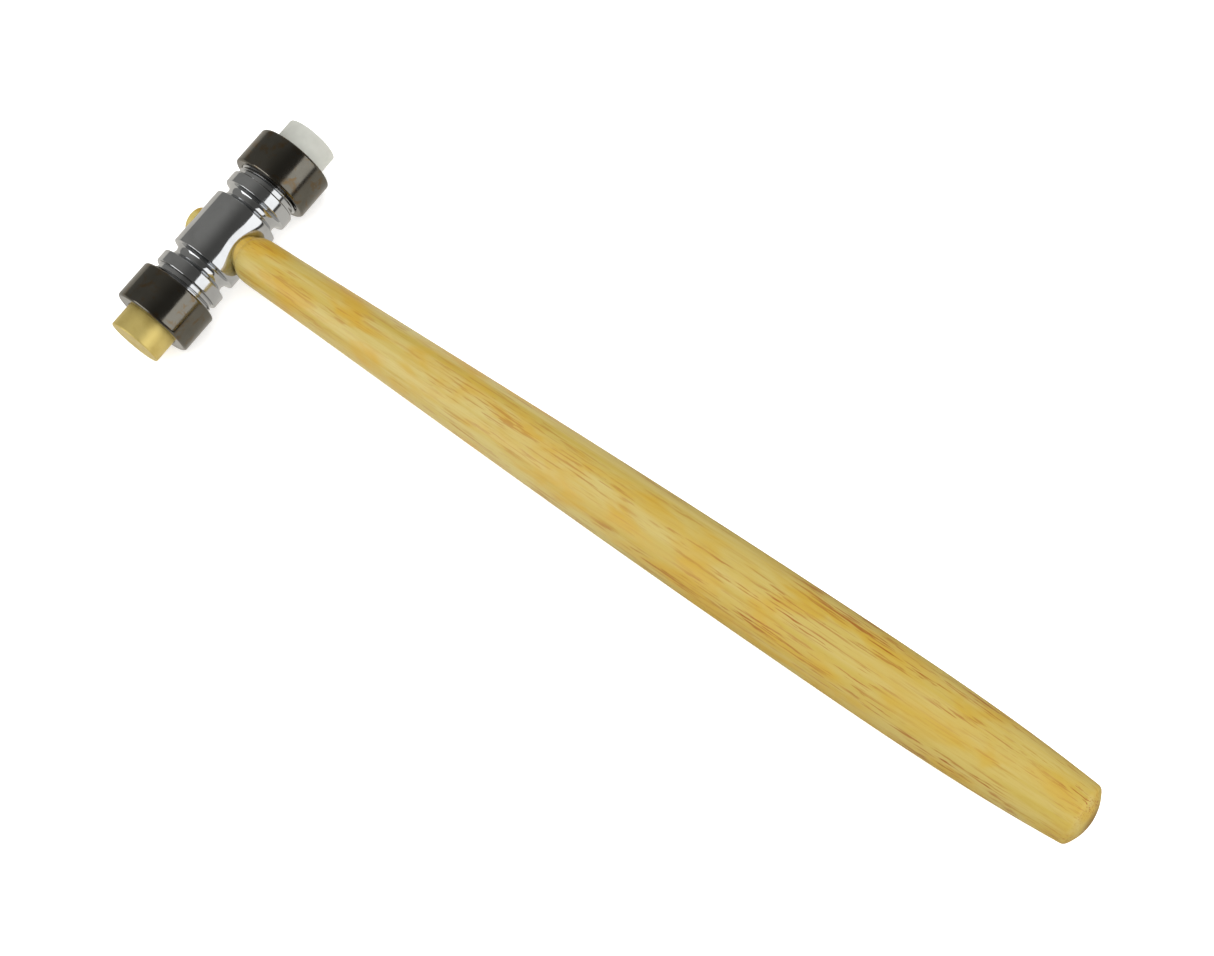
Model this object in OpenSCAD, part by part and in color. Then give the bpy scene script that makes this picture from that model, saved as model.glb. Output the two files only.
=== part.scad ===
// Double-faced mallet: a turned wooden handle wedged into a plated steel head,
// with a nylon and a brass striking face, each held on by a screwed ring cap.
//
// Frame, in millimetres: the origin is the centre of the brass striking face.
// +Y runs along the head axis to the nylon face, +X runs along the handle to
// its butt, and +Z is up with the mallet lying on its side.

/* [Head] */
// Distance between the two striking faces
head_len = 61.5; // [60:0.5:66]
// Diameter of the middle barrel that holds the handle
barrel_d = 16.3; // [15.5:0.1:17]
// Length of the middle barrel
barrel_len = 14.8; // [14:0.2:15.6]
// Width of the half-round groove on each side of the barrel
groove_w = 3.0; // [2:0.2:3.2]
// Diameter of the collar outside each groove
collar_d = 16.4; // [16:0.1:17]
// Width of each collar
collar_w = 3.1; // [2.5:0.1:3.3]

/* [Threads] */
// Outer diameter of the threaded spigots
thread_d = 15.4; // [14.8:0.1:15.6]
// Axial advance in one turn
pitch = 1.0; // [0.9:0.05:1.2]
// Height of the thread ridge
thread_depth = 0.5; // [0.4:0.05:0.55]
// Clearance between the cap's thread and the spigot's
thread_gap = 0.1; // [0.08:0.01:0.12]
// Distance from the head's middle to the end of a spigot
spigot_end = 19.5; // [19:0.1:20.5]

/* [Caps] */
// Outer diameter of a ring cap
cap_d = 19.1; // [18.8:0.1:21]
// Length of a ring cap
cap_len = 9.6; // [9.2:0.1:10.4]
// Distance from the head's middle to the inner end of a cap
cap_start = 15.4; // [15:0.1:15.8]
// Thickness of the lip that holds the face's flange
lip_t = 2.4; // [1.8:0.1:2.6]
// Diameter of the hole in the lip
lip_bore_d = 12.9; // [12.8:0.1:13.6]
// Diameter of the hook-spanner hole in the cap's side
spanner_hole_d = 2.0; // [1.4:0.1:2.4]
// Depth of the hook-spanner hole
spanner_hole_depth = 1.2; // [0.8:0.1:1.3]

/* [Faces] */
// Diameter of both striking faces
face_d = 12.7; // [11:0.1:12.7]
// Diameter of the flange under each cap's lip
flange_d = 15.2; // [14.4:0.1:15.4]

/* [Handle] */
// Distance from the head axis to the end of the butt
reach = 224.9; // [200:0.1:250]
// Diameter of the neck past its rounded shoulder
neck_d = 10.9; // [10:0.1:11]
// Diameter of the handle's end in the socket
stub_d = 9.0; // [8.4:0.1:9.2]
// Length of the rounded shoulder between stub and neck
shoulder_len = 4.2; // [3.6:0.1:4.8]
// Largest diameter of the grip
grip_d = 16.6; // [14:0.1:18]
// Distance from the head axis to the thickest part of the grip
belly_x = 168; // [150:1:175]
// Diameter of the butt where its rounded end begins
butt_d = 13.0; // [12:0.1:13.6]

/* [Tenon and wedge] */
// Diameter of the eye through the barrel
eye_d = 7.0; // [6.4:0.1:7.6]
// How far the tenon stands out past the barrel
tenon_proud = 1.0; // [0.4:0.1:1.3]
// Depth of the socket that the handle's end sits in
socket_depth = 3.2; // [2.5:0.1:3.6]
// Thickness of the wedge at the tenon's end
wedge_t = 1.4; // [1:0.1:1.8]
// Width of the wedge across the tenon
wedge_w = 5.0; // [4:0.1:5.4]
// Length of the wedge
wedge_len = 8; // [6:0.5:10]

/* [Hidden] */
$fn = 96;
mouth_depth = 0.5;       // depth of the chamfer round the mouth of the handle's socket
seat_gap = 0.02;         // hairline left between parts that press together
edge = 0.25;             // small chamfer on turned edges
root_overlap = 0.15;     // how far a thread ridge runs into the solid it stands on
segments_per_turn = 36;  // straight steps in one turn of the thread
ridge_base = 0.72;       // width of the ridge's foot, as a share of the pitch
ridge_crest = 0.12;      // width of the ridge's crest, as a share of the pitch

barrel_end = barrel_len / 2;
collar_start = barrel_end + groove_w;
collar_end = collar_start + collar_w;
thread_r = thread_d / 2;
root_r = thread_r - thread_depth;
thread_start = collar_end + pitch / 2;
cap_end = cap_start + cap_len;
lip_start = cap_end - lip_t;
skirt_r = root_r + thread_gap;
lead_in = thread_depth + 0.1;                  // chamfer at a cap's mouth, just clear of its thread
chamber_r = thread_r + thread_gap + 0.15;
chamber_start = spigot_end - 0.3;
nylon_easing = 0.25;
brass_easing = 0.3;
face_end = head_len / 2;
eye_gap = 0.05;
tenon_r = eye_d / 2 - eye_gap;
tenon_end = barrel_d / 2 + tenon_proud;
tenon_round = 0.25;
socket_floor = barrel_d / 2 - socket_depth;
socket_r = stub_d / 2 + eye_gap;
round_start = barrel_d / 2 - 0.35;             // where the shoulder's rounding leaves the stub
shoulder_rise = neck_swell(round_start + shoulder_len) - stub_d / 2;
mouth_flare = 0.45 * shoulder_rise;            // how far the mouth's chamfer opens out
butt_corner_r = 1.4;
butt_dome_r = 11;

// Points of an arc about [cx, cy] from angle a0 to a1.
function arc(cx, cy, r, a0, a1, steps = 6) =
    [for (i = [0:steps]) let (a = a0 + (a1 - a0) * i / steps) [cx + r * cos(a), cy + r * sin(a)]];

function reversed(points) = [for (i = [len(points) - 1:-1:0]) points[i]];

// Places a shape drawn about the head's middle. Side 0 is the nylon end and side 1 the brass
// end: a half turn, and not a mirror, keeps both threads right-handed.
module at_head(side = 0) {
    translate([0, face_end, 0]) rotate([0, 0, 180 * side]) children();
}

// Turns an [axial, radial] outline about the head axis.
module turned(outline) {
    rotate([-90, 0, 0]) rotate_extrude() polygon([for (p = outline) [p[1], p[0]]]);
}

// Right-handed helical ridge about the head axis, tapering from foot_w wide at foot_r to crest_w
// at crest_r. It rises to its full height over the first third of a turn and sinks over the last.
module helical_ridge(foot_r, crest_r, foot_w, crest_w, start, turns) {
    steps = round(turns * segments_per_turn);
    run = segments_per_turn / 3;
    points = [for (i = [0:steps])
        let (a = 360 * i / segments_per_turn,
             y = start + pitch * i / segments_per_turn,
             rise = min(1, 0.2 + i / run, 0.2 + (steps - i) / run),
             r = foot_r + root_overlap + (crest_r - foot_r - root_overlap) * rise)
        for (p = [[foot_r, -foot_w / 2], [r, -crest_w / 2], [r, crest_w / 2], [foot_r, foot_w / 2]])
            [p[0] * cos(a), p[0] * sin(a), y + p[1]]];
    flanks = [for (i = [0:steps - 1], k = [0:3])
        let (a = 4 * i + k, b = 4 * i + (k + 1) % 4)
        each [[a, b, b + 4], [a, b + 4, a + 4]]];
    last = 4 * steps;
    ends = [[3, 2, 1, 0], [last, last + 1, last + 2, last + 3]];
    rotate([-90, 0, 0]) polyhedron(points, concat(flanks, ends), convexity = 10);
}

// Half of the head, from its middle to the end of a spigot.
function half_head() = concat(
    [[barrel_end - edge, barrel_d / 2]],
    arc(barrel_end + groove_w / 2, barrel_d / 2 - edge, groove_w / 2, 180, 360, 14),
    [[collar_start + edge, collar_d / 2],
     [collar_end - 2 * edge, collar_d / 2],
     [collar_end, collar_d / 2 - 2 * edge],
     [collar_end, root_r],
     [spigot_end - edge, root_r],
     [spigot_end, root_r - edge],
     [spigot_end, 0]]);

// Through eye for the tenon, with a flared socket for the handle's end on the +X side.
module eye() {
    rotate([0, 90, 0]) {
        translate([0, 0, -barrel_d]) cylinder(d = eye_d, h = 2 * barrel_d);
        translate([0, 0, socket_floor - seat_gap]) cylinder(r = socket_r, h = barrel_d);
        translate([0, 0, barrel_d / 2 - mouth_depth])
            cylinder(r1 = socket_r, r2 = socket_r + 2 * mouth_flare, h = 2 * mouth_depth);
    }
}

module head_body() {
    male_turns = floor(4 * ((spigot_end - collar_end) / pitch - 1)) / 4;
    color("silver") {
        at_head() difference() {
            turned(concat([for (p = reversed(half_head())) [-p[0], p[1]]], half_head()));
            eye();
        }
        for (side = [0, 1])
            at_head(side)
                helical_ridge(root_r - root_overlap, thread_r, pitch * ridge_base,
                              pitch * ridge_crest, thread_start, male_turns);
    }
}

// Radius of the handle at distance x from the head axis, before and past its thickest part.
function neck_swell(x) =
    (neck_d + (grip_d - neck_d) * pow(sin(90 * (x - socket_floor) / (belly_x - socket_floor)), 1.2)) / 2;
function grip_taper(x) =
    (grip_d - (grip_d - butt_d) * pow((x - belly_x) / (butt_corner_x - belly_x), 2.8)) / 2;

// The butt's corner arc runs smoothly into its domed end.
butt_corner_y = butt_d / 2 - butt_corner_r;
butt_dome_x = reach - butt_dome_r;
butt_corner_x = butt_dome_x + sqrt(pow(butt_dome_r - butt_corner_r, 2) - pow(butt_corner_y, 2));
butt_angle = atan2(butt_corner_y, butt_corner_x - butt_dome_x);

// Rounded shoulder: a quarter ellipse from the stub out to the neck.
function shoulder() =
    [for (a = [0:10:90])
        [round_start + shoulder_len * (1 - cos(a)), stub_d / 2 + shoulder_rise * sin(a)]];

function handle_outline() = concat(
    [[-tenon_end, 0], [-tenon_end, tenon_r - 2 * tenon_round]],
    arc(tenon_round - tenon_end, tenon_r - tenon_round, tenon_round, 180, 90, 3),
    [[socket_floor, tenon_r], [socket_floor, stub_d / 2]],
    shoulder(),
    [for (x = [18:12:belly_x - 6]) [x, neck_swell(x)]],
    [for (i = [0:12]) let (x = belly_x + (butt_corner_x - 2.5 - belly_x) * i / 12) [x, grip_taper(x)]],
    arc(butt_corner_x, butt_corner_y, butt_corner_r, 86, butt_angle, 6),
    arc(butt_dome_x, 0, butt_dome_r, butt_angle - 4, 0, 6));

module handle() {
    color("burlywood") at_head() difference() {
        rotate([0, 90, 0]) rotate_extrude() polygon([for (p = handle_outline()) [p[1], p[0]]]);
        wedge_shape(seat_gap, 1);
    }
}

// Steel wedge along +X from the tenon's end, grown by gap on every side. It starts lead
// millimetres ahead of the tenon's end.
module wedge_shape(gap, lead) {
    mouth = wedge_t / 2 + gap;
    tip = wedge_t / 6 + gap;
    translate([-tenon_end, 0, -wedge_w / 2 - gap])
        linear_extrude(wedge_w + 2 * gap)
            polygon([[-lead, -mouth], [0, -mouth], [wedge_len + gap, -tip],
                     [wedge_len + gap, tip], [0, mouth], [-lead, mouth]]);
}

module handle_wedge() {
    color("dimgray") at_head() wedge_shape(0, 0.05);
}

// Flanged striking face: the cap's lip bears on its flange.
module striking_face(side, easing) {
    flange_start = spigot_end + seat_gap;
    flange_end = lip_start - seat_gap;
    at_head(side) turned(concat(
        [[flange_start, 0],
         [flange_start, flange_d / 2 - edge],
         [flange_start + edge, flange_d / 2],
         [flange_end, flange_d / 2],
         [flange_end, face_d / 2]],
        arc(face_end - easing, face_d / 2 - easing, easing, 90, 0, 4),
        [[face_end, 0]]));
}

module nylon_face() {
    color("white") striking_face(0, nylon_easing);
}

module brass_face() {
    color("goldenrod") striking_face(1, brass_easing);
}

// Ring cap: threaded skirt, chamber for the flange, and lip.
module ring_cap() {
    r = cap_d / 2;
    inner_round = 0.6;
    outer_round = 0.7;
    female_turns = ceil((chamber_start - thread_start) / pitch) + 2;
    difference() {
        turned(concat(
            [[cap_start, skirt_r + lead_in]],
            arc(cap_start + inner_round, r - inner_round, inner_round, 180, 90),
            arc(cap_end - outer_round, r - outer_round, outer_round, 90, 0),
            [[cap_end, lip_bore_d / 2 + edge],
             [cap_end - edge, lip_bore_d / 2],
             [lip_start, lip_bore_d / 2],
             [lip_start, chamber_r],
             [chamber_start, chamber_r],
             [chamber_start, skirt_r],
             [cap_start + lead_in, skirt_r]]));
        helical_ridge(skirt_r - root_overlap, thread_r + thread_gap,
                      pitch * ridge_base + 2 * thread_gap, pitch * ridge_crest + 2 * thread_gap,
                      thread_start - pitch, female_turns);
    }
}

// Blind hole for a hook spanner, turned by angle from +Z about the head axis.
module spanner_hole(angle) {
    translate([0, cap_start + cap_len * 0.27, 0]) rotate([0, angle, 0])
        translate([0, 0, cap_d / 2 - spanner_hole_depth]) cylinder(d = spanner_hole_d, h = cap_d);
}

module nylon_cap() {
    color("dimgray") at_head(0) difference() {
        ring_cap();
        spanner_hole(225);
    }
}

module brass_cap() {
    color("dimgray") at_head(1) difference() {
        ring_cap();
        spanner_hole(135);
    }
}

head_body();
handle();
handle_wedge();
nylon_face();
nylon_cap();
brass_face();
brass_cap();
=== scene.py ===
"""Looks for the double-faced mallet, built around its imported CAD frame.

Lengths here are millimetres until a mesh, a light or the camera is made. The head axis is +Y,
the handle runs along +X, and +Z is up with the mallet lying on its side.
"""
import math

import bmesh
import bpy
from mathutils import Matrix, Vector


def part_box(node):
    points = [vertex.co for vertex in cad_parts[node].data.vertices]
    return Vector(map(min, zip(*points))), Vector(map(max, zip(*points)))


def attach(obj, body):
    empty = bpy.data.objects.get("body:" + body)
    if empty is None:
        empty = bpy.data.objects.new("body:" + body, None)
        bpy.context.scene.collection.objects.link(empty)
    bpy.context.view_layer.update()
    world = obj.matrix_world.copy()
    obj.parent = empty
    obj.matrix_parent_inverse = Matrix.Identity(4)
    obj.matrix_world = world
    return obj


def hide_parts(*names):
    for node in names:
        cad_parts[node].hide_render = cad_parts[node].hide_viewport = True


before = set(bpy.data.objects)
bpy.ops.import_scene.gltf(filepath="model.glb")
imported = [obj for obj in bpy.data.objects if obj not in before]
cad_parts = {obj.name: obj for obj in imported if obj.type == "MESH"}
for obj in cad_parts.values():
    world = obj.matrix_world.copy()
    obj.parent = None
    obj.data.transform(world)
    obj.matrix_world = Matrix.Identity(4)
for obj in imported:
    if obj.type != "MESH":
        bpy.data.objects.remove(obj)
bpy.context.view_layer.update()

MM = 0.001
AROUND = 144  # columns round a turned surface
BARREL_ROWS = 64  # rows along the barrel, close enough to carry the dish
SHARP = math.radians(40)  # edges that turn further than this stay hard

# ---------------------------------------------------------------- sizes
# Driving sizes that a node's box doesn't show.
BARREL_R = 8.15
BARREL_HALF = 7.4
GROOVE_W = 3.0
COLLAR_W = 3.1
THREAD_R = 7.7
THREAD_DEPTH = 0.5
THREAD_GAP = 0.1
LEAD_IN = 0.6
PITCH = 1.0
LIP_T = 2.4
LIP_R = 6.45
FACE_R = 6.35
EYE_R = 3.5
STUB_R = 4.5
SOCKET_FLOOR = 4.95
SEAT_GAP = 0.05
TENON_EASING = 0.4
KERF_GAP = 0.02
KERF_RUNOUT = 0.5  # how far the kerf's cutter runs past the tenon's end
BUTT_SHADE_WIDTH = 0.8  # width of the darker band at the butt's end: painted shade at its edge, partly its darker end grain
DISH_R = 7.3  # reach of the polished hollow round the handle's socket
DISH_DEPTH = 0.45
CHAMBER_GAP = 0.15  # room outside the thread's crest, past the end of the cap's thread
CHAMBER_LAP = 0.3  # how far the chamber reaches back over the spigot
CHAMBER_SLOPE = 3
FLANGE_GAP = 0.02
CAP_INNER_ROUND = 0.6
CAP_OUTER_ROUND = 0.7
NYLON_EASING = 0.25
BRASS_EASING = 0.3
SPANNER_R = 1.0
SPANNER_DEPTH = 1.2
SPANNER_SHARE = 0.27  # how far along the cap the spanner hole sits
EDGE = 0.25


def span(node, axis):
    """A CAD node's lowest and highest place along an axis, in millimetres."""
    low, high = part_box(node)
    return low[axis] / MM, high[axis] / MM


X, Y, Z = 0, 1, 2
FACE_END = (span("nylon_face", Y)[1] - span("brass_face", Y)[0]) / 2
MID_Y = span("brass_face", Y)[0] + FACE_END
CAP_START = span("nylon_cap", Y)[0] - MID_Y
CAP_END = span("nylon_cap", Y)[1] - MID_Y
CAP_R = span("nylon_cap", Z)[1]
SPIGOT_END = span("head_body", Y)[1] - MID_Y
COLLAR_R = span("head_body", Z)[1]
FLANGE_START = span("nylon_face", Y)[0] - MID_Y
FLANGE_R = span("nylon_face", Z)[1]
FLOOR_Z = span("nylon_cap", Z)[0]

COLLAR_START = BARREL_HALF + GROOVE_W
COLLAR_END = COLLAR_START + COLLAR_W
THREAD_START = COLLAR_END + PITCH / 2
THREAD_TURNS = math.floor(4 * ((SPIGOT_END - COLLAR_END) / PITCH - 1)) / 4
ROOT_R = THREAD_R - THREAD_DEPTH
SKIRT_R = ROOT_R + THREAD_GAP
CHAMBER_R = THREAD_R + THREAD_GAP + CHAMBER_GAP
CHAMBER_START = SPIGOT_END - CHAMBER_LAP
LIP_START = CAP_END - LIP_T


# ---------------------------------------------------------------- outlines
def arc(cx, cy, r, a0, a1, steps):
    """Points of an arc about (cx, cy), from angle a0 to a1 in degrees."""
    turn = [math.radians(a0 + (a1 - a0) * i / steps) for i in range(steps + 1)]
    return [(cx + r * math.cos(a), cy + r * math.sin(a)) for a in turn]


def supported(outline, reach=0.08):
    """Adds a point near each end of every long straight, so that smooth shading keeps it straight."""
    out = [outline[0]]
    for (x0, y0), (x1, y1) in zip(outline, outline[1:]):
        length = math.hypot(x1 - x0, y1 - y0)
        if length > 5 * reach:
            for share in (reach / length, 1 - reach / length):
                out.append((x0 + (x1 - x0) * share, y0 + (y1 - y0) * share))
        out.append((x1, y1))
    return out


# ---------------------------------------------------------------- turned meshes
def head_point(axial, radial, turn):
    """A point of a shape turned about the head axis, in metres, about the head's middle."""
    angle = 2 * math.pi * turn
    return Vector((radial * math.cos(angle), axial, -radial * math.sin(angle))) * MM


def handle_point(axial, radial, turn):
    """A point of a shape turned about the handle's axis, in metres, about the head's middle."""
    angle = 2 * math.pi * turn
    return Vector((axial, radial * math.cos(angle), radial * math.sin(angle))) * MM


def skin(bm, outline, point=head_point):
    """Turns an outline into rings of quads. A point on the axis closes its end with a fan."""
    rows = []
    for axial, radial in outline:
        if radial < 1e-6:
            rows.append([bm.verts.new(point(axial, 0, 0))] * AROUND)
        else:
            rows.append([bm.verts.new(point(axial, radial, j / AROUND)) for j in range(AROUND)])
    for low, high in zip(rows, rows[1:]):
        for j in range(AROUND):
            k = (j + 1) % AROUND
            corners = [low[j], low[k], high[k], high[j]]
            corners = [v for i, v in enumerate(corners) if v is not corners[i - 1]]
            if len(corners) > 2:
                bm.faces.new(corners)


def thread_rows(crest_share, root_share):
    """One pitch of thread as (offset along the axis, share of full height) pairs, corners eased."""
    crest, root, ease = crest_share / 2, root_share / 2, 0.02
    half = [(crest - ease, 1.0), (crest + ease, 0.93), (root - ease, 0.07), (root + ease, 0.0)]
    return [(-o * PITCH, h) for o, h in reversed(half)] + [(o * PITCH, h) for o, h in half]


def thread_skin(bm, low, high, rows, radius):
    """Right-handed thread between two plain rings, with its rows following the helix.
    radius(axial, height, turn) gives the surface, and the rows beyond a ring collapse on it."""
    first = math.floor((low - THREAD_START) / PITCH) - 2
    last = math.ceil((high - THREAD_START) / PITCH) + 2
    columns = []
    for j in range(AROUND):
        turn = j / AROUND
        column = []
        for n in range(first, last):
            for offset, height in rows:
                axial = THREAD_START + (n + turn) * PITCH + offset
                axial = min(max(axial, low), high)
                column.append(bm.verts.new(head_point(axial, radius(axial, height, n + turn), turn)))
        columns.append(column)
    for j in range(AROUND):
        here, there = columns[j], columns[(j + 1) % AROUND]
        if j == AROUND - 1:
            there = there[len(rows):]
        for i in range(len(there) - 1):
            bm.faces.new([here[i], there[i], there[i + 1], here[i + 1]])


def finish_mesh(bm, name, material, side=0):
    """Welds a mesh, moves it to its end of the head and makes it a smooth-shaded piece."""
    bmesh.ops.remove_doubles(bm, verts=bm.verts, dist=2e-7)
    bmesh.ops.dissolve_degenerate(bm, edges=bm.edges, dist=1e-7)
    bmesh.ops.recalc_face_normals(bm, faces=bm.faces)
    place = Matrix.Translation((0, MID_Y * MM, 0)) @ Matrix.Rotation(math.pi * side, 4, "Z")
    bmesh.ops.transform(bm, matrix=place, verts=bm.verts)
    mesh = bpy.data.meshes.new(name)
    bm.to_mesh(mesh)
    bm.free()
    mesh.shade_smooth()
    mesh.set_sharp_from_angle(angle=SHARP)
    piece = bpy.data.objects.new(name, mesh)
    bpy.context.scene.collection.objects.link(piece)
    mesh.materials.append(material)
    return piece


def cut(piece, cutter_mesh):
    """Cuts a closed shape out of a piece and keeps the piece's hard edges hard."""
    cutter = bpy.data.objects.new("cutter", cutter_mesh)
    bpy.context.scene.collection.objects.link(cutter)
    modifier = piece.modifiers.new("cut", "BOOLEAN")
    modifier.object = cutter
    modifier.operation = "DIFFERENCE"
    modifier.solver = "EXACT"
    evaluated = piece.evaluated_get(bpy.context.evaluated_depsgraph_get())
    mesh = bpy.data.meshes.new_from_object(evaluated)
    piece.modifiers.clear()
    piece.data = mesh
    mesh.shade_smooth()
    mesh.set_sharp_from_angle(angle=SHARP)
    bpy.data.objects.remove(cutter)


def rod_mesh(start, direction, radius, length):
    """A closed round cutter, from start along direction, in millimetres about the head's middle."""
    bm = bmesh.new()
    bmesh.ops.create_cone(bm, cap_ends=True, segments=64, radius1=radius * MM,
                          radius2=radius * MM, depth=length * MM)
    along = Vector(direction).normalized()
    middle = (Vector(start) + along * length / 2 + Vector((0, MID_Y, 0))) * MM
    turn = along.to_track_quat("Z", "Y").to_matrix().to_4x4()
    bmesh.ops.transform(bm, matrix=Matrix.Translation(middle) @ turn, verts=bm.verts)
    mesh = bpy.data.meshes.new("rod")
    bm.to_mesh(mesh)
    bm.free()
    return mesh


# ---------------------------------------------------------------- material nodes
class Nodes:
    """A material's node tree, with short calls for the nodes used here."""

    def __init__(self, name):
        self.material = bpy.data.materials.new(name)
        self.material.use_nodes = True
        self.tree = self.material.node_tree
        self.shader = self.tree.nodes["Principled BSDF"]
        self.place = self.add("ShaderNodeTexCoord").outputs["Object"]

    def add(self, kind, **values):
        node = self.tree.nodes.new(kind)
        for key, value in values.items():
            setattr(node, key, value)
        return node

    def link(self, source, target):
        self.tree.links.new(source, target)

    def put(self, node, key, value):
        """Sets an input, or links it when the value is another node's output."""
        if isinstance(value, bpy.types.NodeSocket):
            self.link(value, node.inputs[key])
        else:
            node.inputs[key].default_value = value

    def stretch(self, x, y, z):
        node = self.add("ShaderNodeMapping")
        self.link(self.place, node.inputs["Vector"])
        node.inputs["Scale"].default_value = (x, y, z)
        return node.outputs["Vector"]

    def noise(self, vector, scale, detail=4, rough=0.5, warp=0.0):
        node = self.add("ShaderNodeTexNoise")
        self.link(vector, node.inputs["Vector"])
        node.inputs["Scale"].default_value = scale
        node.inputs["Detail"].default_value = detail
        node.inputs["Roughness"].default_value = rough
        node.inputs["Distortion"].default_value = warp
        return node.outputs["Fac"]

    def ramp(self, value, low, high, to_low=0.0, to_high=1.0):
        node = self.add("ShaderNodeMapRange", interpolation_type="SMOOTHSTEP")
        self.link(value, node.inputs["Value"])
        for key, number in zip(("From Min", "From Max", "To Min", "To Max"), (low, high, to_low, to_high)):
            node.inputs[key].default_value = number
        return node.outputs["Result"]

    def math(self, operation, a, b):
        node = self.add("ShaderNodeMath", operation=operation)
        self.put(node, 0, a)
        self.put(node, 1, b)
        return node.outputs["Value"]

    def mix(self, share, a, b):
        node = self.add("ShaderNodeMix", data_type="RGBA")
        self.put(node, 0, share)
        self.put(node, 6, a)
        self.put(node, 7, b)
        return node.outputs[2]

    def bump(self, height, strength, distance_mm):
        node = self.add("ShaderNodeBump")
        node.inputs["Strength"].default_value = strength
        node.inputs["Distance"].default_value = distance_mm * MM
        self.link(height, node.inputs["Height"])
        return node.outputs["Normal"]

    def set(self, **values):
        for key, value in values.items():
            self.put(self.shader, key.replace("_", " "), value)


def rgb(r, g, b):
    """A colour given as sRGB numbers from 0 to 255."""
    share = [c / 255 for c in (r, g, b)]
    return [c / 12.92 if c <= 0.04045 else ((c + 0.055) / 1.055) ** 2.4 for c in share] + [1.0]


def plated_steel(name, colour, dull, rough, patina=0.0):
    """Polished plate: faint turning lines, cloudy polish, wipe marks and, on the caps, a patina."""
    n = Nodes(name)
    cloud = n.noise(n.stretch(1, 1, 1), 180, 3)
    lines = n.noise(n.stretch(60, 9000, 60), 1, 3, 0.6)
    wipes = n.noise(n.stretch(900, 120, 900), 1, 5, 0.7, 0.8)
    base = n.mix(n.ramp(cloud, 0.35, 0.75, 0.0, 0.5), colour, dull)
    blotches = n.noise(n.stretch(1, 1, 1), 420, 4, 0.65, 0.5)
    base = n.mix(n.ramp(blotches, 0.5, 0.68, 0.0, patina), base, rgb(112, 90, 58))
    roughness = n.math("ADD", n.ramp(cloud, 0.3, 0.7, rough, rough * 1.8),
                       n.ramp(wipes, 0.55, 0.75, 0.0, 0.06))
    height = n.math("ADD", n.math("MULTIPLY", lines, 0.5), n.math("MULTIPLY", cloud, 0.5))
    n.set(Metallic=1.0, Base_Color=base, Roughness=roughness, Normal=n.bump(height, 0.1, 0.01))
    return n.material


bright_plate = plated_steel("bright_plate", rgb(204, 206, 208), rgb(176, 177, 178), 0.07)
dark_plate = plated_steel("dark_plate", rgb(114, 111, 103), rgb(92, 89, 80), 0.11, 0.7)


def turned_brass():
    n = Nodes("turned_brass")
    lines = n.noise(n.stretch(120, 7000, 120), 1, 4, 0.65)
    tarnish = n.noise(n.stretch(1, 1, 1), 260, 5, 0.6)
    base = n.mix(n.ramp(tarnish, 0.4, 0.72, 0.0, 0.6), rgb(226, 204, 124), rgb(204, 178, 96))
    roughness = n.ramp(lines, 0.3, 0.7, 0.4, 0.5)
    n.set(Metallic=0.72, Base_Color=base, Roughness=roughness, Normal=n.bump(lines, 0.12, 0.01))
    return n.material


def milky_nylon():
    n = Nodes("milky_nylon")
    cloud = n.noise(n.stretch(1, 1, 1), 220, 3)
    lines = n.noise(n.stretch(80, 5000, 80), 1, 3, 0.6)
    base = n.mix(n.ramp(cloud, 0.3, 0.7), rgb(198, 199, 191), rgb(188, 189, 181))
    n.set(Base_Color=base, Roughness=n.ramp(lines, 0.3, 0.7, 0.38, 0.5), IOR=1.53,
          Subsurface_Weight=0.25, Subsurface_Radius=(1.0, 1.0, 0.95), Subsurface_Scale=2.5 * MM,
          Normal=n.bump(lines, 0.15, 0.02))
    return n.material


def lacquered_wood():
    """Pale straight-grained wood under clear lacquer, with open pores as short brown streaks."""
    n = Nodes("lacquered_wood")
    along = n.add("ShaderNodeSeparateXYZ")
    n.link(n.place, along.inputs["Vector"])
    toward_butt = n.ramp(along.outputs["X"], 0.05, 0.2)
    bands = n.noise(n.stretch(9, 260, 260), 1, 4, 0.55, 0.6)
    mottle = n.noise(n.stretch(60, 150, 150), 1, 3, 0.5, 0.4)
    clusters = n.noise(n.stretch(30, 200, 200), 1, 3, 0.5, 0.5)
    fibre = n.noise(n.stretch(90, 2600, 2600), 1, 4, 0.6)
    pores = n.noise(n.stretch(115, 2400, 2400), 1, 3, 0.55, 0.2)
    base = n.mix(n.ramp(bands, 0.35, 0.68), rgb(200, 182, 110), rgb(190, 165, 74))
    base = n.mix(n.ramp(mottle, 0.4, 0.66, 0.0, 0.85), base, rgb(198, 156, 38))
    base = n.mix(n.ramp(toward_butt, 0.0, 1.0, 0.0, 0.35), base, rgb(190, 162, 58))
    base = n.mix(n.ramp(fibre, 0.45, 0.75, 0.0, 0.3), base, rgb(180, 146, 60))
    streak = n.math("MULTIPLY", n.ramp(pores, 0.53, 0.62), n.ramp(toward_butt, 0.0, 1.0, 0.45, 1.0))
    streak = n.math("MULTIPLY", streak, n.ramp(clusters, 0.38, 0.62, 0.15, 1.0))
    base = n.mix(streak, base, rgb(158, 88, 6))
    butt = span("handle", X)[1] * MM
    # painted shade: the wood darkens over the butt's last few tenths of a millimetre, standing for the
    # shade at its edge as well as its darker end grain
    butt_shade_and_end_grain = n.ramp(along.outputs["X"], butt - BUTT_SHADE_WIDTH * MM, butt, 0.0, 0.7)
    base = n.mix(butt_shade_and_end_grain, base, rgb(128, 88, 34))
    height = n.math("SUBTRACT", n.math("MULTIPLY", fibre, 0.3), streak)
    n.set(Base_Color=base, Roughness=n.ramp(fibre, 0.3, 0.7, 0.45, 0.58), Coat_Weight=0.35,
          Coat_Roughness=0.22, Normal=n.bump(height, 0.25, 0.04))
    return n.material


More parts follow.
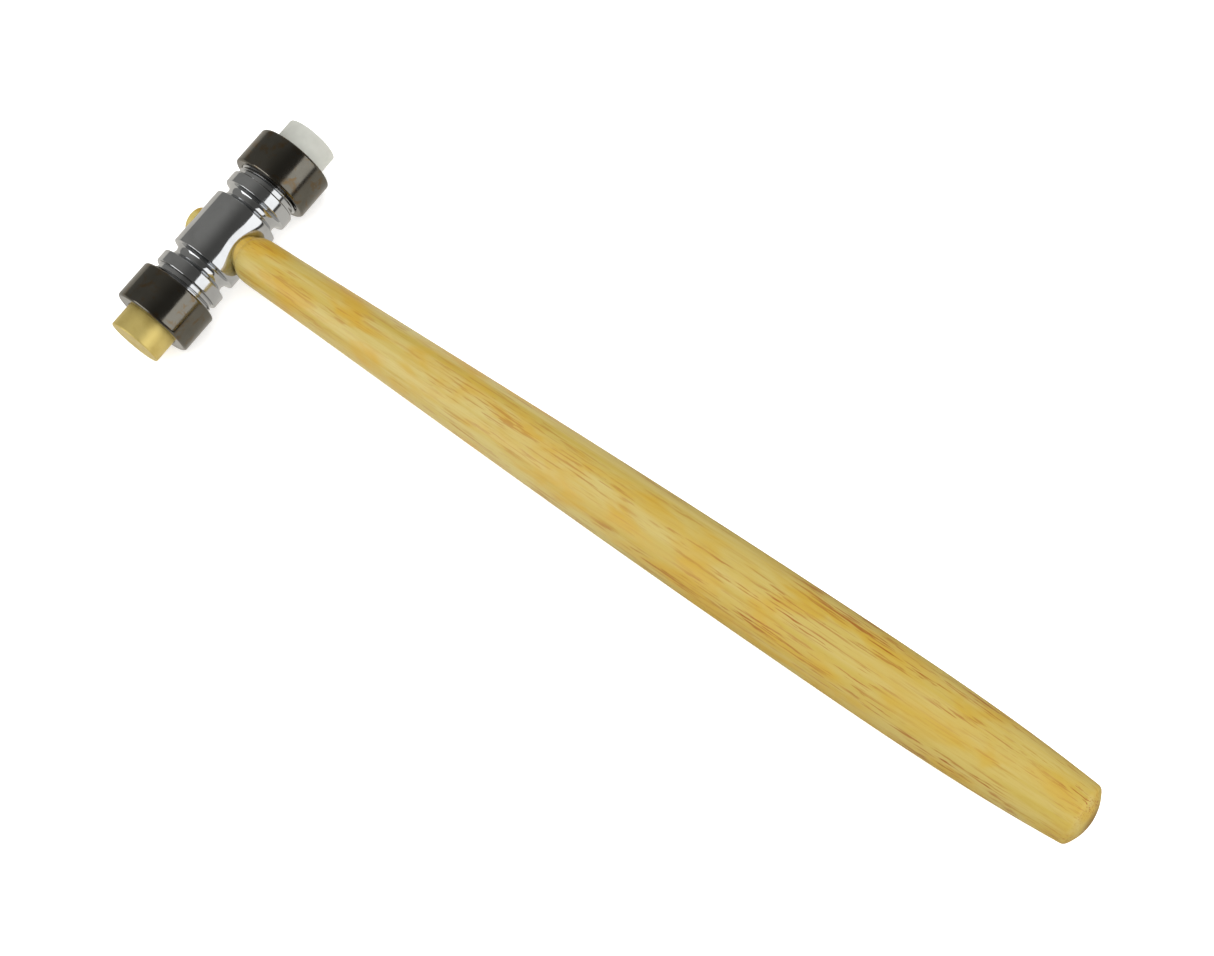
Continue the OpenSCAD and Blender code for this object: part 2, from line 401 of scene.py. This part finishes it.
def sheared_steel():
    n = Nodes("sheared_steel")
    grain = n.noise(n.stretch(300, 2400, 2400), 1, 4, 0.6)
    base = n.mix(n.ramp(grain, 0.35, 0.7), rgb(150, 146, 140), rgb(96, 92, 88))
    n.set(Metallic=1.0, Base_Color=base, Roughness=n.ramp(grain, 0.3, 0.7, 0.3, 0.5),
          Normal=n.bump(grain, 0.4, 0.03))
    return n.material


# ---------------------------------------------------------------- head
def half_head(direction):
    """Outline from the barrel's corner to the collar's end, towards +Y or -Y."""
    groove = arc(BARREL_HALF + GROOVE_W / 2, BARREL_R - EDGE, GROOVE_W / 2, 180, 360, 20)
    corner = arc(BARREL_HALF - EDGE, BARREL_R - EDGE, EDGE, 90, 0, 3)
    collar_in = arc(COLLAR_START + EDGE, COLLAR_R - EDGE, EDGE, 180, 90, 3)
    collar_out = arc(COLLAR_END - 2 * EDGE, COLLAR_R - 2 * EDGE, 2 * EDGE, 90, 0, 5)
    points = corner + groove[1:-1] + collar_in + collar_out + [(COLLAR_END, ROOT_R)]
    return [(direction * y, r) for y, r in supported(points)]


def male_radius(axial, height, turn):
    """The spigot's thread, which rises over its first third of a turn and sinks over its last."""
    inside = min(turn, THREAD_TURNS - turn)
    rise = 0 if inside < 0 else min(1, 0.2 + 3 * inside)
    return ROOT_R + THREAD_DEPTH * height * rise


def dish(bm):
    """Hollows the barrel a little round the handle, as polishing leaves it."""
    for vertex in bm.verts:
        x, y, z = vertex.co / MM
        near = DISH_R - math.hypot(y, z)
        if x > 0 and near > 0:
            vertex.co.x -= DISH_DEPTH * min(1.2, near / (DISH_R - STUB_R)) ** 2 * MM


def build_head():
    bm = bmesh.new()
    flat = BARREL_HALF - EDGE
    barrel = [(flat * (2 * i / BARREL_ROWS - 1), BARREL_R) for i in range(1, BARREL_ROWS)]
    skin(bm, list(reversed(half_head(-1))) + barrel + half_head(1))
    dish(bm)
    rows = thread_rows(0.12, 0.58)
    thread_end = SPIGOT_END - EDGE
    tip = [(thread_end, ROOT_R), (SPIGOT_END, ROOT_R - EDGE), (SPIGOT_END, 0)]
    for side in (0, 1):
        half = bmesh.new()
        thread_skin(half, COLLAR_END, thread_end, rows, male_radius)
        skin(half, supported(tip, 0.05))
        turn = Matrix.Rotation(math.pi * side, 3, "Z")
        bmesh.ops.rotate(half, verts=half.verts, cent=(0, 0, 0), matrix=turn)
        mesh = bpy.data.meshes.new("spigot")
        half.to_mesh(mesh)
        half.free()
        bm.from_mesh(mesh)
        bpy.data.meshes.remove(mesh)
    head = finish_mesh(bm, "polished_head", bright_plate)
    cut(head, rod_mesh((-2 * BARREL_R, 0, 0), (1, 0, 0), EYE_R, 4 * BARREL_R))
    cut(head, rod_mesh((SOCKET_FLOOR, 0, 0), (1, 0, 0), STUB_R + SEAT_GAP, 2 * BARREL_R))
    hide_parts("head_body")
    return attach(head, "head")


# ---------------------------------------------------------------- caps and faces
def female_radius(axial, height, turn):
    """The cap's thread, opened by a lead-in at its mouth and by the chamber at its far end."""
    groove = SKIRT_R + THREAD_DEPTH * height
    mouth = SKIRT_R + LEAD_IN - (axial - CAP_START)
    chamber = CHAMBER_R - CHAMBER_SLOPE * (CHAMBER_START - axial)
    return max(groove, mouth, chamber)


def build_cap(end, side, hole_direction):
    mouth_r = SKIRT_R + LEAD_IN
    inner, outer = CAP_INNER_ROUND, CAP_OUTER_ROUND
    outside = (arc(CAP_START + inner, CAP_R - inner, inner, 180, 90, 8)
               + arc(CAP_END - outer, CAP_R - outer, outer, 90, 0, 8))
    inside = [(CAP_END, LIP_R + EDGE), (CAP_END - EDGE, LIP_R), (LIP_START, LIP_R),
              (LIP_START, CHAMBER_R), (CHAMBER_START, CHAMBER_R)]
    bm = bmesh.new()
    skin(bm, supported([(CAP_START, mouth_r)] + outside + inside))
    thread_skin(bm, CAP_START, CHAMBER_START, thread_rows(0.32, 0.78), female_radius)
    cap = finish_mesh(bm, f"{end}_ring_cap", dark_plate, side)
    local_y = (CAP_START + (CAP_END - CAP_START) * SPANNER_SHARE) * (-1 if side else 1)
    out = Vector(hole_direction).normalized()
    start = Vector((0, local_y, 0)) + out * (CAP_R - SPANNER_DEPTH)
    cut(cap, rod_mesh(start, out, SPANNER_R, 2 * CAP_R))
    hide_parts(f"{end}_cap")
    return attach(cap, f"{end}_cap")


def build_face(end, side, material, easing):
    flange_end = LIP_START - FLANGE_GAP
    outline = ([(FLANGE_START, 0), (FLANGE_START, FLANGE_R - EDGE), (FLANGE_START + EDGE, FLANGE_R),
                (flange_end, FLANGE_R), (flange_end, FACE_R)]
               + arc(FACE_END - easing, FACE_R - easing, easing, 90, 0, 8) + [(FACE_END, 0)])
    bm = bmesh.new()
    skin(bm, supported(outline))
    face = finish_mesh(bm, f"{end}_striking_face", material, side)
    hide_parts(f"{end}_face")
    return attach(face, f"{end}_face")


# ---------------------------------------------------------------- handle and wedge
def handle_outline():
    """The CAD handle's own (x, radius) outline past its socket, rounded shoulder first."""
    rings = {}
    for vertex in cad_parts["handle"].data.vertices:
        x, y, z = vertex.co / MM
        if x > SOCKET_FLOOR + 0.01:
            key = round(x, 2)
            rings[key] = max(rings.get(key, 0), math.hypot(y - MID_Y, z))
    return sorted(rings.items())


def smooth_through(points, steps):
    """A curve through the points, which stays smooth where their spacing changes."""
    out = []
    ends = [points[0]] + points + [points[-1]]
    for p0, p1, p2, p3 in zip(ends, ends[1:], ends[2:], ends[3:]):
        a, b, c, d = (Vector(p) for p in (p0, p1, p2, p3))
        before = max((b - a).length, 1e-3)
        here = (c - b).length
        after = max((d - c).length, 1e-3)
        chord = (c - b) / here
        leave = arrive = chord
        if p0 != p1:
            leave = ((b - a) / before * here + chord * before) / (before + here)
        if p2 != p3:
            arrive = (chord * after + (d - c) / after * here) / (here + after)
        for i in range(steps):
            t = i / steps
            out.append(((2 * t ** 3 - 3 * t ** 2 + 1) * b + (t ** 3 - 2 * t ** 2 + t) * here * leave
                        + (3 * t ** 2 - 2 * t ** 3) * c + (t ** 3 - t ** 2) * here * arrive)[:])
    return out + [points[-1]]


def kerf_mesh():
    """The wedge's own shape, grown a hair all round and run out past the tenon's end."""
    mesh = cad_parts["handle_wedge"].data.copy()
    middle = sum(span("handle_wedge", X)) / 2
    for vertex in mesh.vertices:
        x, y, z = vertex.co / MM
        vertex.co.x += (KERF_GAP if x > middle else -KERF_RUNOUT) * MM
        vertex.co.y += math.copysign(KERF_GAP, y - MID_Y) * MM
        vertex.co.z += math.copysign(KERF_GAP, z) * MM
    return mesh


def build_handle(wood):
    tenon_end = -span("handle", X)[0]
    tenon_r = EYE_R - SEAT_GAP
    grip = smooth_through(handle_outline(), 4)
    end_corner = arc(TENON_EASING - tenon_end, tenon_r - TENON_EASING, TENON_EASING, 180, 90, 6)
    outline = ([(-tenon_end, 0)] + end_corner
               + [(SOCKET_FLOOR, tenon_r), (SOCKET_FLOOR, STUB_R)]
               + grip[:-1] + [(grip[-1][0], 0)])
    bm = bmesh.new()
    skin(bm, supported(outline), handle_point)
    handle = finish_mesh(bm, "turned_handle", wood)
    cut(handle, kerf_mesh())
    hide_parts("handle")
    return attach(handle, "head")


build_head()
build_cap("nylon", 0, (-1, 0, -1))
build_cap("brass", 1, (-1, 0, -1))
build_face("nylon", 0, milky_nylon(), NYLON_EASING)
build_face("brass", 1, turned_brass(), BRASS_EASING)
build_handle(lacquered_wood())
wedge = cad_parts["handle_wedge"]
wedge.data.materials.clear()
wedge.data.materials.append(sheared_steel())


# ---------------------------------------------------------------- floor, light and camera
REFLECTED_FLOOR = (212, 208, 200)  # the floor as polished metal shows it
SHADED_FLOOR = (70, 68, 64)  # and where it falls into shade, along the handle
SHADE_FROM, SHADE_TO = 0.07, 0.13  # where that shade begins and is full, in metres along X
FLOOR_HALF = 1.6  # half the floor's width, in metres
ROOM_LEFT, ROOM_RIGHT = 0.24, 0.09  # the room's brightness towards -X and towards +X


def build_floor():
    n = Nodes("paper")
    speckle = n.noise(n.stretch(1, 1, 1), 900, 2)
    paper = n.mix(speckle, (0.93, 0.93, 0.93, 1), (0.96, 0.96, 0.96, 1))
    n.set(Base_Color=paper, Roughness=0.9, Emission_Color=paper, Emission_Strength=0.6)
    dim = n.add("ShaderNodeEmission")
    away = n.add("ShaderNodeSeparateXYZ")
    n.link(n.place, away.inputs["Vector"])
    shade = n.ramp(away.outputs["X"], SHADE_FROM, SHADE_TO)
    n.put(dim, "Color", n.mix(shade, rgb(*REFLECTED_FLOOR), rgb(*SHADED_FLOOR)))
    chosen = n.add("ShaderNodeMixShader")
    n.link(n.add("ShaderNodeLightPath").outputs["Is Glossy Ray"], chosen.inputs[0])
    n.link(n.shader.outputs[0], chosen.inputs[1])
    n.link(dim.outputs[0], chosen.inputs[2])
    n.link(chosen.outputs[0], n.tree.nodes["Material Output"].inputs["Surface"])
    half = FLOOR_HALF
    mesh = bpy.data.meshes.new("floor")
    corners = [(-half, -half), (half, -half), (half, half), (-half, half)]
    mesh.from_pydata([(x, y, FLOOR_Z * MM) for x, y in corners], [], [(0, 1, 2, 3)])
    mesh.materials.append(n.material)
    floor = bpy.data.objects.new("floor", mesh)
    bpy.context.scene.collection.objects.link(floor)


def soft_box(name, toward, distance, size, radiance, seen_in_reflections=True):
    """A rectangular lamp seen from the head in a given direction, with its brightness as radiance."""
    data = bpy.data.lights.new(name, "AREA")
    data.shape = "RECTANGLE"
    data.size, data.size_y = size
    data.energy = radiance * math.pi * size[0] * size[1]
    lamp = bpy.data.objects.new(name, data)
    along = Vector(toward).normalized()
    lamp.location = Vector((0, MID_Y * MM, 0)) + along * distance
    lamp.rotation_euler = along.to_track_quat("Z", "Y").to_euler()
    lamp.visible_glossy = seen_in_reflections
    bpy.context.scene.collection.objects.link(lamp)


def build_light():
    world = bpy.data.worlds.new("room")
    bpy.context.scene.world = world
    world.use_nodes = True
    nodes, links = world.node_tree.nodes, world.node_tree.links
    sky = nodes["Background"]
    sky.inputs["Color"].default_value = (1.0, 0.98, 0.93, 1)
    parts = nodes.new("ShaderNodeSeparateXYZ")
    links.new(nodes.new("ShaderNodeTexCoord").outputs["Generated"], parts.inputs["Vector"])
    fade = nodes.new("ShaderNodeMapRange")
    fade.interpolation_type = "SMOOTHSTEP"
    links.new(parts.outputs["X"], fade.inputs["Value"])
    limits = (-0.5, 0.45, ROOM_LEFT, ROOM_RIGHT)
    for key, number in zip(("From Min", "From Max", "To Min", "To Max"), limits):
        fade.inputs[key].default_value = number
    links.new(fade.outputs["Result"], sky.inputs["Strength"])
    soft_box("side_box", (0.93, 0.19, 0.3665), 0.7, (0.75, 0.468), 1.4)
    soft_box("left_box", (-0.36, -0.78, 0.51), 0.7, (0.5, 0.4), 2.0)
    soft_box("overhead", (0.1, 0, 1), 1.2, (1.6, 1.6), 2.2, seen_in_reflections=False)


def build_camera():
    """The camera, high above the floor and past the handle's middle, looking back to the head."""
    data = bpy.data.cameras.new("camera")
    data.sensor_width = 36
    data.lens = 59.1
    data.clip_start, data.clip_end = 0.01, 20
    camera = bpy.data.objects.new("camera", data)
    right = Vector((0.77738, 0.60771, -0.16240))
    back = Vector((0.35544, -0.21137, 0.91049))
    up = back.cross(right)
    axes = Matrix((right, up, back)).transposed().to_4x4()
    camera.matrix_world = Matrix.Translation((0.2530, -0.05245, 0.3723)) @ axes
    bpy.context.scene.collection.objects.link(camera)
    bpy.context.scene.camera = camera


build_floor()
build_light()
build_camera()
bpy.context.scene.view_settings.view_transform = "Standard"
